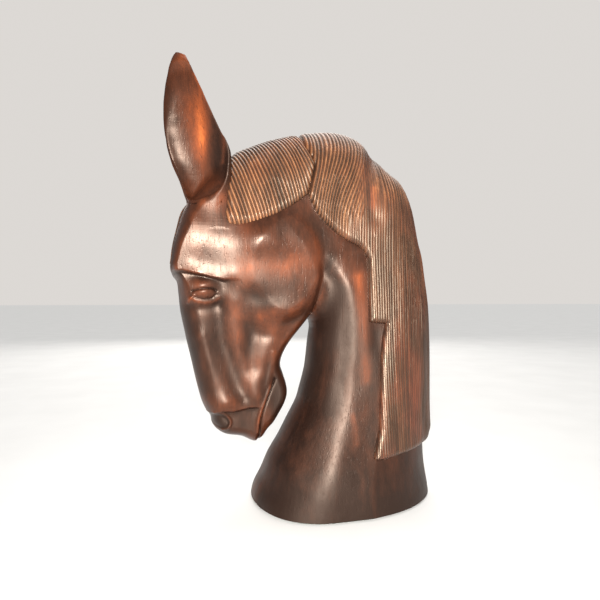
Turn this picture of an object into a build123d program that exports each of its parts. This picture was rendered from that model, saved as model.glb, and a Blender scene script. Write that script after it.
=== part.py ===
"""A giant chess knight: a horse's head and neck carved from glued hardwood boards.

The horse faces -X, its left side is -Y and +Z is up. The origin is the centre of the underside of
the base. Two blocks, the neck and the head, are each glued up from three boards that lie side by
side across Y, and a sloping scarf joint with two dowels holds the head block on the neck block.
The ears, the mane and the forelock are carved separately and glued on. Lengths are millimetres.
"""

from build123d import *

import math
import os

# Driving dimensions
BASE_LENGTH = 200.0
BASE_WIDTH = 152.0
FELT_THICKNESS = 2.0
FELT_INSET = 3.0
BOARD_THICKNESS = 40.0  # the centre board; the side boards take up the rest of the width
MANE_THICKNESS = 8.0
FORELOCK_THICKNESS = 7.0

# The scarf joint starts at the throat and leans back as it goes up
THROAT = (-43.0, 187.0)
SCARF_LEAN = 19.0
UNDER_JAW = ((-54, 150), (-54, 112), (-69, 78), (-85, 54), (-130, 35))  # the open gap below the throat

SCARF_DOWEL = {"radius": 10.0, "length": 80.0, "heights": (235.0, 315.0)}
BOARD_DOWEL_RADIUS = 6.0
NECK_DOWELS = {"half_length": 42.0, "places": ((-45.0, 40.0), (62.0, 40.0), (30.0, 150.0))}
HEAD_DOWELS = {"half_length": 30.0, "places": ((-130.0, 205.0), (-90.0, 285.0))}
GLUE_GAP = 0.1  # radial room that a dowel has in its hole

EAR_ROOT_Z = 288.0
EAR_TURN = 30.0  # how far forward of sideways the ear opens, in degrees
EAR_SCOOP_SHIFT = 11.0
EAR_DOWEL = {"radius": 6.0, "bottom": 264.0, "top": 308.0}

# Level sections: height, front, back, half width, where it is widest
NECK_SECTIONS = (
    (FELT_THICKNESS, -BASE_LENGTH / 2, BASE_LENGTH / 2, BASE_WIDTH / 2, -20),
    (25, -89, 96, 73, -12),
    (60, -70, 94, 67, 0),
    (100, -50, 96, 60, 12),
    (145, -39, 97, 55, 22),
    (190, -42, 96, 51, 20),
    (240, -60, 89, 48, 5),
    (290, -100, 77, 45, -15),
    (330, -120, 60, 39, -25),
    (352, -112, 42, 32, -30),
    (368, -96, 22, 23, -35),
    (379, -70, -2, 12, -36),
)
HEAD_SECTIONS = (
    (64, -106, -90, 9, -98),
    (71, -130, -86, 20, -112),
    (88, -144, -74, 27, -118),
    (112, -152, -64, 29, -115),
    (138, -159, -69, 32, -118),
    (165, -165, -62, 37, -115),
    (190, -171, -38, 43, -108),
    (215, -175, -27, 48, -105),
    (240, -180, -24, 50, -105),
    (265, -179, -35, 50, -110),
    (290, -173, -60, 45, -120),
    (310, -164, -80, 38, -125),
    (328, -152, -92, 30, -125),
    (342, -138, -100, 20, -122),
)
SECTION_POINTS = 16
SQUARENESS = 2.2  # 2 is an ellipse, and more is squarer

CHEEK = {"centre": (-87, 241), "radius": 60.0, "swell": (110, 54, 110)}
EYE = {"centre": (-153, -33, 217), "radii": (13, 8, 7), "socket": (-154, -45, 215), "hollow": (20, 12, 13)}
NOSTRIL = {"centre": (-136, -26, 89), "radii": (10, 6, 7)}
MOUTH = {"top": (-80, 146), "bottom": (-95, 58), "width": 2.0, "floor": 21.5}

# Level ear sections: height, half width, half depth, middle along X, middle out from the centre
EAR_SECTIONS = (
    (EAR_ROOT_Z, 17, 13, -142, 29),
    (307, 20, 15, -146, 31),
    (327, 28, 18, -149.5, 33),
    (346, 32.5, 18, -152.5, 33),
    (371, 33, 17.5, -156, 33),
    (385, 31.5, 16.5, -158, 32),
    (402, 27.5, 14.5, -161, 31),
    (420, 20, 11, -165, 30),
    (436, 11.5, 7, -168, 29),
    (449, 3, 2.5, -170, 28),
)
# The scoop in the ear: height, half width, half depth; its middle lies on the ear's outer face
EAR_SCOOP = (
    (298, 6, 5),
    (305, 13, 11),
    (318, 20, 15),
    (330, 23.5, 17),
    (355, 26.5, 18),
    (380, 26.5, 17.5),
    (402, 22, 13),
    (420, 14.5, 9),
    (434, 7, 5),
    (443, 3, 3),
)

# Side outlines (x, z) of the carved overlays, in smooth runs
MANE_FRONT = ((-50, 313), (-39, 292), (-24, 278), (-9, 268), (5, 261), (12, 250))
MANE_STEP = ((12, 250), (12, 187), (28, 185))
MANE_LOWER = ((28, 185), (27, 150), (20, 111), (11, 56))
MANE_HEM = ((11, 56), (37, 59), (60, 62), (85, 66), (96, 60), (110, 62))
LOCK_BOTTOM = ((-128, 284), (-112, 281), (-93, 286), (-69, 299), (-50, 313))
LOCK_FRONT = ((-120, 345), (-125, 315), (-128, 284))
LOCK_BACK_X = -50.0  # where the mane and the crest lock meet, over the crest
CREST_TOP = 400.0
FORELOCK_BACK_X = -115.0
FORELOCK_OUTLINE = ((-22, 352), (-19, 300), (-9, 262), (0, 246), (9, 262), (19, 300), (22, 352))


def superellipse(half_x, half_y, squareness=SQUARENESS):
    """Points around a rounded rectangle centred on the origin, starting at -X."""
    points = []
    for k in range(SECTION_POINTS):
        angle = math.tau * k / SECTION_POINTS
        c, s = math.cos(angle), math.sin(angle)
        x = -half_x * math.copysign(abs(c) ** (2 / squareness), c)
        y = half_y * math.copysign(abs(s) ** (2 / squareness), s)
        points.append((x, y))
    return points


def level_section(height, front, back, half_width, widest, grow=0.0):
    """A level egg-shaped section, widest at its own place between its front and its back."""
    reach_front = widest - front + grow
    reach_back = back - widest + grow
    points = []
    for x, y in superellipse(1.0, half_width + grow):
        points.append((widest + x * (reach_front if x < 0 else reach_back), y, height))
    return Wire(Spline(*points, periodic=True))


def carved_block(sections, grow=0.0):
    """A smooth solid through level sections; grow makes it larger all round and at the top."""
    top = sections[-1][0]
    stretch = (top + grow) / top
    wires = [level_section(s[0] * stretch, *s[1:], grow=grow) for s in sections]
    return Solid.make_loft(wires)


def ellipsoid(centre, radii):
    return Pos(*centre) * scale(Sphere(1), by=radii)


def mirrored(shape):
    return mirror(shape, about=Plane.XZ)


def both_sides(shape):
    return shape + mirrored(shape)


def ear_place(height):
    """Where the ear's middle is at a height, between its own sections."""
    for low, high in zip(EAR_SECTIONS, EAR_SECTIONS[1:]):
        if height <= high[0]:
            part = (height - low[0]) / (high[0] - low[0])
            return [a + part * (b - a) for a, b in zip(low, high)]
    return EAR_SECTIONS[-1]


def turned_section(height, half_width, half_depth, outwards_shift):
    """A level ellipse around the ear's middle, turned to face EAR_TURN forward of sideways."""
    _, _, _, x, outwards = ear_place(height)
    turn = math.radians(EAR_TURN)
    x -= outwards_shift * math.sin(turn)
    y = -outwards - outwards_shift * math.cos(turn)
    ellipse = Spline(*superellipse(half_width, half_depth, 2.0), periodic=True)
    return Wire(Pos(x, y, height) * Rot(0, 0, -EAR_TURN) * ellipse)


def ear_leaf():
    """The left ear's outer form, before the scoop is carved out of it."""
    return Solid.make_loft([turned_section(*row[:3], 0) for row in EAR_SECTIONS])


def ear_scoop():
    """The hollow that faces outwards and forwards."""
    return Solid.make_loft([turned_section(*row, EAR_SCOOP_SHIFT) for row in EAR_SCOOP])


def dowel(radius, length, centre, direction, room=0.0):
    """A round peg centred on a point; room makes the hole for it instead."""
    plane = Plane(origin=centre, z_dir=direction)
    return plane * Cylinder(radius + room, length + 2 * room)


def scarf_dowels(room=0.0):
    lean = math.radians(SCARF_LEAN)
    pegs = []
    for height in SCARF_DOWEL["heights"]:
        x = THROAT[0] + (height - THROAT[1]) * math.tan(lean)
        direction = (math.cos(lean), 0, -math.sin(lean))
        pegs.append(dowel(SCARF_DOWEL["radius"], SCARF_DOWEL["length"], (x, 0, height), direction, room))
    return pegs


def board_dowels(pattern, room=0.0):
    return [
        dowel(BOARD_DOWEL_RADIUS, 2 * pattern["half_length"], (x, 0, z), (0, 1, 0), room)
        for x, z in pattern["places"]
    ]


def ear_dowel(room=0.0):
    low, high = EAR_DOWEL["bottom"], EAR_DOWEL["top"]
    root = EAR_SECTIONS[0]
    centre = (root[3], -root[4], (low + high) / 2)
    return dowel(EAR_DOWEL["radius"], high - low, centre, (0, 0, 1), room)


def side_prism(*runs):
    """A prism across the whole width over a side outline of smooth runs with straight gaps."""
    edges = []
    for run, following in zip(runs, runs[1:] + runs[:1]):
        points = [(x, 0, z) for x, z in run]
        edges.append(Line(*points) if len(points) == 2 else Spline(*points))
        if run[-1] != following[0]:
            edges.append(Line(points[-1], (following[0][0], 0, following[0][1])))
    return extrude(Face(Wire(edges)), amount=BASE_WIDTH, dir=(0, 1, 0), both=True)


def corner_prism(*corners):
    """A prism across the whole width over a side outline with straight edges."""
    face = Face(Wire(Polyline(*[(x, 0, z) for x, z in corners], close=True)))
    return extrude(face, amount=BASE_WIDTH, dir=(0, 1, 0), both=True)


def neck_prism():
    """Everything behind the scarf joint and the gap under the jaw."""
    far, high = BASE_LENGTH, 2 * BASE_LENGTH + 50
    scarf_top = (THROAT[0] + (high - THROAT[1]) * math.tan(math.radians(SCARF_LEAN)), high)
    return corner_prism(THROAT, *UNDER_JAW, (-130, -10), (far, -10), (far, high), scarf_top)


def mane_prism():
    far = BASE_LENGTH
    back = ((far, MANE_HEM[-1][1]), (far, CREST_TOP))
    front_top = ((LOCK_BACK_X, CREST_TOP), MANE_FRONT[0])
    return side_prism(MANE_FRONT, MANE_STEP[:2], MANE_STEP[1:], MANE_LOWER, MANE_HEM, back, front_top)


def lock_prism():
    top = ((LOCK_BACK_X, CREST_TOP), (LOCK_FRONT[0][0], CREST_TOP))
    return side_prism(LOCK_BOTTOM, top, LOCK_FRONT)


def forelock_prism():
    """A tapering tongue, seen from the front, that reaches back as far as the poll."""
    points = [(FORELOCK_BACK_X, y, z) for y, z in FORELOCK_OUTLINE]
    tongue = Face(Wire([Spline(*points), Line(points[-1], points[0])]))
    return extrude(tongue, amount=BASE_LENGTH, dir=(-1, 0, 0))


def half_space(side, from_y):
    """A block that holds everything out from a distance on one side: -1 is left, 1 is right."""
    reach = 2 * BASE_LENGTH
    return Pos(0, side * (from_y + reach / 2), reach / 2) * Box(2 * reach, reach, 2 * reach)


def cheeks():
    """Both cheeks: a disc in the side view, with a gentle swell on each of its faces."""
    x, z = CHEEK["centre"]
    disc = Pos(x, 0, z) * Rot(90, 0, 0) * Cylinder(CHEEK["radius"], BASE_WIDTH)
    return disc & ellipsoid((x, 0, z), CHEEK["swell"])


def mouth_cut():
    """The slit between the lips on each side, which stops at a floor inside the side boards."""
    (x_top, z_top), (x_low, z_low) = MOUTH["top"], MOUTH["bottom"]
    length = math.hypot(x_top - x_low, z_top - z_low)
    angle = math.degrees(math.atan2(x_top - x_low, z_top - z_low))
    middle = ((x_top + x_low) / 2, 0, (z_top + z_low) / 2)
    slot = Pos(*middle) * Rot(0, angle, 0) * Box(MOUTH["width"], BASE_WIDTH, length)
    return slot - Box(3 * BASE_LENGTH, 2 * MOUTH["floor"], 3 * BASE_LENGTH)


def skull():
    """The head without its ears: its main form, the cheeks, the eyes, the nostrils and the mouth."""
    form = carved_block(HEAD_SECTIONS) + cheeks()
    form = form - both_sides(ellipsoid(EYE["socket"], EYE["hollow"]))
    form = form + both_sides(ellipsoid(EYE["centre"], EYE["radii"]))
    return form - both_sides(ellipsoid(NOSTRIL["centre"], NOSTRIL["radii"])) - mouth_cut()


def solids_only(shape):
    return Compound(children=[s for s in shape.solids() if s.volume > 1.0])


def write(name, shape):
    export_step(solids_only(shape), f"parts/{name}.step")


def write_boards(name, block):
    """Split a block into its three boards."""
    half = BOARD_THICKNESS / 2
    left, right = half_space(-1, half), half_space(1, half)
    write(f"{name}_left_board", block & left)
    write(f"{name}_right_board", block & right)
    write(f"{name}_centre_board", block - left - right)


def write_blocks(horse, ears):
    neck = horse & neck_prism()
    head = horse - neck_prism() - ears
    ear_holes = both_sides(ear_dowel(GLUE_GAP))
    write_boards("neck", neck - [*scarf_dowels(GLUE_GAP), *board_dowels(NECK_DOWELS, GLUE_GAP)])
    write_boards("head", head - [*scarf_dowels(GLUE_GAP), *board_dowels(HEAD_DOWELS, GLUE_GAP), ear_holes])


def write_dowels():
    write("head_to_neck_dowels", Compound(children=scarf_dowels()))
    write("neck_board_dowels", Compound(children=board_dowels(NECK_DOWELS)))
    write("head_board_dowels", Compound(children=board_dowels(HEAD_DOWELS)))
    write("left_ear_dowel", ear_dowel())
    write("right_ear_dowel", mirrored(ear_dowel()))


def write_ears():
    left_ear = ear_leaf() - ear_scoop() - ear_dowel(GLUE_GAP)
    write("left_ear", left_ear)
    write("right_ear", mirrored(left_ear))


def write_hair(horse, ears):
    """The mane and crest lock on each side, and the forelock, that lie on the finished form."""
    overlay = carved_block(NECK_SECTIONS, MANE_THICKNESS) - horse - ears
    for side, name in ((-1, "left"), (1, "right")):
        half = overlay & half_space(side, 0)
        write(f"{name}_mane", half & mane_prism())
        write(f"{name}_crest_lock", half & lock_prism())
    fringe = carved_block(HEAD_SECTIONS, FORELOCK_THICKNESS) & forelock_prism()
    write("forelock", fringe - horse - ears - overlay)


def write_felt():
    section = level_section(0, *NECK_SECTIONS[0][1:], grow=-FELT_INSET)
    write("base_felt", extrude(Face(section), amount=FELT_THICKNESS, dir=(0, 0, 1)))


def main():
    os.makedirs("parts", exist_ok=True)
    horse = carved_block(NECK_SECTIONS) + skull()
    ears = both_sides(ear_leaf())
    write_blocks(horse, ears)
    write_dowels()
    write_ears()
    write_hair(horse, ears)
    write_felt()


if __name__ == "__main__":
    main()
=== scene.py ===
"""The looks of the carved wooden knight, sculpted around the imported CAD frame.

Every carved piece is cut from one sculpted form: a side outline with a thickness at each point, plus
a relief of ridges, hollows and creases. A piece is the part of that form inside its own region, so
neighbouring pieces meet exactly. Lengths are millimetres until a mesh is made; x and z are the side
view (the face is at -X), and y is across.
"""
import math

import bpy
import numpy as np
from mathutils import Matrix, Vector


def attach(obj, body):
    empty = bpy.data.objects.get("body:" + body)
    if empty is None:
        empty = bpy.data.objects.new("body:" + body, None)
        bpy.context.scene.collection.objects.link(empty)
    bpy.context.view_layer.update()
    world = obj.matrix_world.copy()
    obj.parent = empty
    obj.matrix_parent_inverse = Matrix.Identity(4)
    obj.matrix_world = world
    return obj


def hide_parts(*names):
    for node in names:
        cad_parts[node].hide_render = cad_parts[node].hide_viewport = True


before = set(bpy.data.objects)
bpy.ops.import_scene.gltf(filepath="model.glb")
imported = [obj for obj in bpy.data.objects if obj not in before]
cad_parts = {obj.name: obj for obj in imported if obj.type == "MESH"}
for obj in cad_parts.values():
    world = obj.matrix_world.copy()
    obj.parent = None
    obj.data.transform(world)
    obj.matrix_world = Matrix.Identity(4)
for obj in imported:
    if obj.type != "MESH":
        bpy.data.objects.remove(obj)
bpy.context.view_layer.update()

MM = 0.001
SEED = 11

# ---------------------------------------------------------------- side outlines, in mm (x, z)
HEAD_FRONT = [
    (-162, 308), (-170, 297), (-175, 280), (-179, 264), (-181, 250), (-182, 242), (-180, 233), (-176, 227),
    (-174, 215), (-172, 197), (-168, 178), (-164, 160), (-161, 147), (-157, 129), (-152, 110), (-147, 98),
    (-144, 91), (-141, 83), (-135, 76), (-126, 71), (-111, 68), (-101, 63),
]
HEAD_BACK = [
    (-95, 62), (-88, 67), (-83, 74), (-76, 81), (-69.5, 91), (-64.5, 101), (-62, 111), (-63, 121),
    (-66.5, 132), (-69.5, 142), (-67.5, 152), (-61, 164), (-51, 177), (-41, 190), (-31, 207), (-26, 225),
    (-26, 245), (-32, 268), (-45, 292), (-62, 315), (-85, 338), (-110, 350), (-132, 345), (-148, 328),
]
NECK_OUTLINE = [
    (-108, -200), (-104, -30), (-99, 2), (-96, 12), (-89, 25), (-81, 43), (-70, 61), (-60, 80), (-50, 99),
    (-46, 112), (-41, 131), (-39, 144), (-38, 163), (-41, 185), (-60, 215), (-88, 255), (-108, 290),
    (-120, 325), (-112, 350), (-96, 363), (-64, 374), (-32, 380), (-8, 381), (12, 374), (28, 359),
    (42, 345), (57, 334), (68, 313), (75, 285), (82, 262), (86, 235), (90, 205), (91, 174), (90.5, 117),
    (90, 80), (91, 42), (93, 25), (96, 7), (99, -30), (102, -200),
]
FALL_FRONT = [(-50, 313), (-39, 293), (-24, 278), (-9, 268), (5, 261), (12, 250)]
FALL_SIDE = [(12, 250), (12, 187), (29, 185), (26, 172), (23, 150), (21, 120), (18, 84), (10, 55)]
FALL_HEM = [(10, 55), (22, 55), (38, 57), (68, 59), (90, 58), (112, 58)]
LOCK_EDGE = [(-124, 346), (-127, 315), (-128, 284), (-112, 281), (-93, 286), (-69, 299), (-50, 313)]
LOCK_VALLEY = [(-50, 313), (-45, 332), (-43, 344), (-47, 356), (-51, 372), (-52, 410)]

# ---------------------------------------------------------------- thickness against height, in mm
HEAD_HALF = [
    (58, 20), (75, 24), (90, 26), (115, 27), (140, 27.5), (165, 30), (190, 34), (215, 38), (240, 41.5),
    (265, 45), (285, 46), (305, 43), (330, 38), (350, 34),
]
NECK_HALF = [
    (0, 78), (25, 74.5), (60, 67), (100, 60), (145, 55), (190, 51), (240, 48), (290, 46), (420, 46),
]
NECK_FRONT_ROUND = [(0, 62), (60, 50), (100, 42), (140, 38), (170, 43), (200, 50), (420, 50)]
NECK_BACK_ROUND = [(0, 105), (60, 85), (100, 70), (150, 60), (200, 54), (420, 50)]
HEAD_FRONT_ROUND = [
    (60, 12), (100, 14), (150, 20), (200, 20), (235, 8), (250, 9), (270, 12), (290, 16), (340, 18),
]
HEAD_BACK_ROUND = [(60, 11), (206, 11), (235, 16), (262, 25), (292, 30)]

# The same planes and dowels as the CAD model; the ears stand up to 3 mm further forward
FELT_TOP = 2.0
HALF_CENTRE_BOARD = 20.0
SPLIT = [(-20, -150), (35, -130), (54, -85), (78, -69), (112, -54), (150, -54), (187, -43), (450, 47.6)]
EAR_TURN = math.radians(30)
EAR_ROOT_Z = 289
EAR_ROWS = [  # height, half width, half depth, middle along x, middle out from the centre
    (282, 16, 12, -141, 28), (307, 20, 15, -146, 31), (327, 28, 18, -150, 33), (346, 32.5, 18, -153.5, 33),
    (371, 33, 17.5, -158, 33), (385, 31.5, 16.5, -160.5, 32), (402, 27.5, 14.5, -164, 31),
    (420, 20, 11, -168, 30), (436, 11.5, 7, -171, 29), (447, 6, 3.5, -172, 28), (450, 1, 1, -172, 28),
]
SCOOP_ROWS = [  # height, half width, half depth
    (292, 0.6, 1), (299, 7, 8), (304, 13, 12), (312, 19.5, 15.5), (327, 26.5, 18), (346, 32, 19),
    (371, 33, 18.5), (385, 31.4, 17.5), (402, 26.8, 14.5), (420, 18.5, 10), (434, 9, 5.5), (441, 0.6, 1),
]
RIM_ROWS = [  # height, rim outwards
    (296, 18), (306, 11), (322, 4), (345, 2), (400, 1.5), (430, 2.5), (442, 9),
]
SCOOP_SHIFT_ROWS = [(300, 3), (335, 4), (385, 12), (440, 12)]  # height, scoop outwards
EAR_THIN_WALL = 1.5  # how much nearer the scoop is to the ear's front edge than to its back edge


# ---------------------------------------------------------------- small maths
def smoothstep(t):
    t = np.clip(t, 0, 1)
    return t * t * (3 - 2 * t)


def from_rows(rows, height, column=1):
    """A column of a table, smoothly read at any height."""
    heights = [row[0] for row in rows]
    values = [row[column] for row in rows]
    return np.interp(height, heights, values)


def soft_rows(rows, height, column=1, reach=6.0):
    """The same, with its corners rounded off."""
    steps = (-1.0, -0.5, 0.0, 0.5, 1.0)
    return sum(from_rows(rows, height + step * reach, column) for step in steps) / len(steps)


def blend_union(a, b, reach):
    """The union of two forms, with a fillet about reach wide."""
    h = np.clip(0.5 + 0.5 * (b - a) / reach, 0, 1)
    return b * (1 - h) + a * h - reach * h * (1 - h)


def blend_cut(a, b, reach):
    """What two forms share, with a rounded edge about reach wide."""
    return -blend_union(-a, -b, reach)


def smooth_curve(points, closed=False, per_span=4):
    """Points along a Catmull-Rom curve through the given ones."""
    pts = np.array(points, float)
    if closed:
        pts = np.vstack([pts[-1:], pts, pts[:2]])
    else:
        pts = np.vstack([2 * pts[0] - pts[1], pts, 2 * pts[-1] - pts[-2]])
    out = []
    for p0, p1, p2, p3 in zip(pts, pts[1:], pts[2:], pts[3:]):
        for t in np.arange(per_span) / per_span:
            cubic = 2 * p1 + (p2 - p0) * t + (2 * p0 - 5 * p1 + 4 * p2 - p3) * t**2
            out.append(0.5 * (cubic + (3 * p1 - p0 - 3 * p2 + p3) * t**3))
    if not closed:
        out.append(pts[-2])
    return np.array(out)


def distance_to(path, x, z):
    """How far each point is from a path of straight runs."""
    best = np.full(np.shape(x), 1e9)
    for (ax, az), (bx, bz) in zip(path, path[1:]):
        dx, dz = bx - ax, bz - az
        along = np.clip(((x - ax) * dx + (z - az) * dz) / (dx * dx + dz * dz + 1e-9), 0, 1)
        best = np.minimum(best, (x - ax - along * dx) ** 2 + (z - az - along * dz) ** 2)
    return np.sqrt(best)


def depth_inside(path, x, z):
    """How deep each point is inside a closed outline; negative outside it."""
    ring = np.vstack([path, path[:1]])
    inside = np.zeros(np.shape(x), bool)
    for (ax, az), (bx, bz) in zip(ring, ring[1:]):
        crosses = (az > z) != (bz > z)
        inside ^= crosses & (x < (bx - ax) * (z - az) / (bz - az + 1e-12) + ax)
    return np.where(inside, 1, -1) * distance_to(ring, x, z)


class Sheet:
    """Values over the side view, that can be read between their grid points."""

    def __init__(self, step):
        self.step = step
        self.low = np.array((-205.0, -10.0))
        high = np.array((125.0, 456.0))
        xs = np.arange(self.low[0], high[0] + step, step)
        zs = np.arange(self.low[1], high[1] + step, step)
        self.x, self.z = np.meshgrid(xs, zs, indexing="ij")
        self.values = np.zeros(self.x.shape)

    def at(self, x, z):
        u = np.clip((x - self.low[0]) / self.step, 0, self.x.shape[0] - 1.001)
        v = np.clip((z - self.low[1]) / self.step, 0, self.x.shape[1] - 1.001)
        i, j = u.astype(np.int32), v.astype(np.int32)
        u, v = u - i, v - j
        low = self.values[i, j] * (1 - u) + self.values[i + 1, j] * u
        high = self.values[i, j + 1] * (1 - u) + self.values[i + 1, j + 1] * u
        return low * (1 - v) + high * v

    def near(self, points, margin):
        """The part of the grid around some points."""
        low = np.min(points, axis=0) - margin
        high = np.max(points, axis=0) + margin
        i0, j0 = np.maximum(((low - self.low) / self.step).astype(int), 0)
        i1, j1 = np.maximum(((high - self.low) / self.step).astype(int) + 2, 1)
        return slice(i0, i1), slice(j0, j1)

    def ridge(self, points, height, width, sharp=False):
        """A raised line (or a groove, with a height below 0), rounded or with a sharp crest."""
        path = smooth_curve(points)
        part = self.near(path, 4 * width)
        reach = distance_to(path, self.x[part], self.z[part]) / width
        self.values[part] += height * (np.exp(-reach) if sharp else np.exp(-reach**2))

    def turned(self, centre, radii, turn):
        dx, dz = self.x - centre[0], self.z - centre[1]
        c, s = math.cos(math.radians(turn)), math.sin(math.radians(turn))
        return (dx * c + dz * s) / radii[0], (dz * c - dx * s) / radii[1]

    def bump(self, centre, height, radii, turn=0.0):
        """A rounded swelling or hollow; turn is in degrees, anticlockwise in the (x, z) view."""
        u, v = self.turned(centre, radii, turn)
        self.values += height * np.exp(-(u * u + v * v))

    def disc(self, centre, height, radii, turn, edge):
        """A flat raised or sunk ellipse."""
        u, v = self.turned(centre, radii, turn)
        self.values += height * smoothstep((1 - np.hypot(u, v)) * min(radii) / edge)

    def step_below(self, points, height, fade, edge, ends):
        """A ledge: the surface drops just below a line and comes back over the fade distance."""
        xs, zs = zip(*points)
        below = np.interp(self.x, xs, zs) - self.z
        along = smoothstep((self.x - xs[0]) / ends + 0.5) * smoothstep((xs[-1] - self.x) / ends + 0.5)
        drop = smoothstep(below / edge + 0.5) * np.exp(-((np.maximum(below, 0) / fade) ** 2))
        self.values += height * drop * along


def lattice_noise(shape_like_x, shape_like_z, scale, seed):
    """Smooth random hills about scale across, from -1 to 1, over the side view."""
    lattice = np.random.default_rng(seed).uniform(-1, 1, (160, 160))
    u, v = (shape_like_x + 400) / scale, (shape_like_z + 200) / scale
    i, j = np.floor(u).astype(int), np.floor(v).astype(int)
    u, v = smoothstep(u - i), smoothstep(v - j)
    i, j = i % 159, j % 159
    low = lattice[i, j] * (1 - u) + lattice[i + 1, j] * u
    high = lattice[i, j + 1] * (1 - u) + lattice[i + 1, j + 1] * u
    return low * (1 - v) + high * v


# ---------------------------------------------------------------- the sculpted forms
def outline_sheet(points):
    sheet = Sheet(1.0)
    sheet.values = depth_inside(smooth_curve(points, closed=True), sheet.x, sheet.z)
    return sheet


def head_round_sheet():
    """How far in from the head's outline the side starts to turn away."""
    sheet = Sheet(2.0)
    face = distance_to(smooth_curve(HEAD_FRONT), sheet.x, sheet.z)
    front = soft_rows(HEAD_FRONT_ROUND, sheet.z)
    back = soft_rows(HEAD_BACK_ROUND, sheet.z, reach=12.0)
    sheet.values = front + (back - front) * smoothstep((face - 18) / 34)
    return sheet


def cheek(sheet):
    """The jaw's round plate: crisp behind and below, fading out towards the face and temple."""
    centre, radius = (-88, 244), 64
    edge = radius - np.hypot(sheet.x - centre[0], sheet.z - centre[1])
    towards_face = smoothstep((-66 - sheet.x) / 50)
    above = smoothstep((sheet.z - 256) / 60)
    sheet.values += 8.0 * smoothstep(edge / (16 + 40 * towards_face)) * (1 - above)


def head_relief():
    sheet = Sheet(0.5)
    cheek(sheet)
    # forehead, temple and brow
    sheet.bump((-148, 266), 2.4, (22, 24), -8)
    sheet.bump((-93, 276), 3.6, (34, 20))
    sheet.bump((-96, 268), 1.6, (20, 15))
    sheet.ridge([(-124, 292), (-121, 266), (-116, 246)], -1.0, 16)
    brow = [
        (-182, 237), (-169, 236.4), (-161, 234.8), (-153, 233), (-147, 231.8), (-138, 229.6), (-131, 228),
        (-124, 228.5),
    ]
    sheet.ridge([(x, z + 5) for x, z in brow[2:]], 0.8, 7)
    sheet.step_below(brow, -3.7, 16, 3.4, 22)
    # eye: lid, ball, lower lid and tear duct
    sheet.bump((-149, 220), 1.8, (20, 14))
    sheet.bump((-149, 224), 5.2, (12, 7.2), 3)
    sheet.bump((-149, 215), 3.4, (10.5, 5.6), 2)
    sheet.ridge([(-160, 217.6), (-156, 218.8), (-151, 219.8), (-146, 220.2), (-141, 219.8), (-138, 218.2)],
                -2.6, 1.0, sharp=True)
    sheet.ridge([(-161, 213), (-156, 211.2), (-149, 209.8), (-142, 211), (-138, 214.4)],
                -1.1, 1.1, sharp=True)
    sheet.ridge([(-162, 210), (-156, 207.8), (-148, 206.6), (-140, 208), (-135, 211)], 1.2, 2.6)
    sheet.ridge([(-164, 206.6), (-162.5, 210), (-159, 213.4)], 1.2, 1.3)
    sheet.ridge([(-160, 201.5), (-148, 201), (-137, 204)], -1.2, 5)
    # nose and cheek bones
    sheet.ridge([(-154, 172), (-148, 155), (-140, 138), (-133, 122), (-128, 110)], 2.0, 9)
    sheet.ridge([(-136, 204), (-135, 190), (-131, 168), (-123, 146), (-115, 124), (-109, 113)], -2.6, 9)
    sheet.ridge([(-122, 206), (-119, 190), (-117, 170), (-113, 146), (-107, 124), (-101, 113)], 1.2, 10)
    sheet.ridge([(-101, 182), (-104, 170), (-105, 158), (-103, 142)], -1.6, 9)
    sheet.ridge([(-78, 180), (-84, 162), (-91, 147), (-94, 132), (-98, 116)], 1.8, 9)
    sheet.ridge([(-80, 156), (-82, 142), (-86, 124)], 1.0, 3)
    sheet.ridge([(-95, 191), (-80, 196), (-68, 200), (-56, 201)], 1.2, 10)
    sheet.bump((-98, 213), -2.2, (16, 9), -10)
    sheet.ridge([(-108, 184), (-98, 176), (-84, 174), (-70, 176)], -1.0, 7)
    # muzzle: shelf, nostril, lips and chin
    shelf = [
        (-150, 94.5), (-144, 95.5), (-137, 98), (-131, 99), (-121, 98.2), (-114, 99.2), (-105, 101),
        (-96, 101),
    ]
    sheet.bump((-126, 107), 3.2, (18, 10), 4)
    sheet.step_below(shelf, -2.5, 13, 2.4, 12)
    sheet.disc((-134, 88.5), -1.2, (11.5, 7.6), -22, 2.4)
    sheet.ridge([(-139, 97.3), (-131, 97.2), (-125.5, 93), (-123, 87.8), (-125.5, 82), (-131, 80)],
                1.5, 1.5)
    sheet.ridge([(-79, 129), (-82, 120), (-86, 109), (-90, 99), (-93, 88), (-93.5, 78), (-94, 60)],
                -3.3, 1.0, sharp=True)
    sheet.ridge([(-83, 121), (-87.5, 109), (-91.5, 99), (-95, 88), (-96, 76)], 1.5, 2.2)
    sheet.bump((-74, 106), -2.6, (12, 34), 8)
    sheet.bump((-108, 84), -1.4, (9, 10))
    return sheet


def neck_relief():
    sheet = Sheet(0.5)
    # the hollow behind the jaw, with a soft crease on its back side
    sheet.ridge([(-32, 236), (-25, 226), (-24, 210), (-31, 192), (-46, 172)], -5.5, 11)
    crease = [(-16, 234), (-8, 222), (-3, 200), (-2, 180), (-3, 160), (-6, 136), (-10, 108)]
    sheet.ridge(crease, 0.4, 5.0)
    sheet.ridge([(x - 8, z - 2) for x, z in crease], -0.5, 9)
    behind_jaw = [
        (-22, 190), (-21, 170), (-22, 150), (-26, 130), (-34, 108), (-50, 76), (-69, 34), (-76, 12),
    ]
    sheet.ridge(behind_jaw, 0.4, 14)
    sheet.ridge([(-18, 124), (-23, 108), (-30, 82), (-44, 56), (-60, 28)], -1.1, 11)
    sheet.ridge([(-5, 104), (-20, 70), (-36, 40)], 0.5, 12)
    sheet.bump((20, 172), -1.4, (7, 16))
    return sheet


HEAD_DEPTH = outline_sheet(HEAD_FRONT + HEAD_BACK)
NECK_DEPTH = outline_sheet(NECK_OUTLINE)
HEAD_ROUND = head_round_sheet()
HEAD_RELIEF = head_relief()
NECK_RELIEF = neck_relief()


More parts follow.
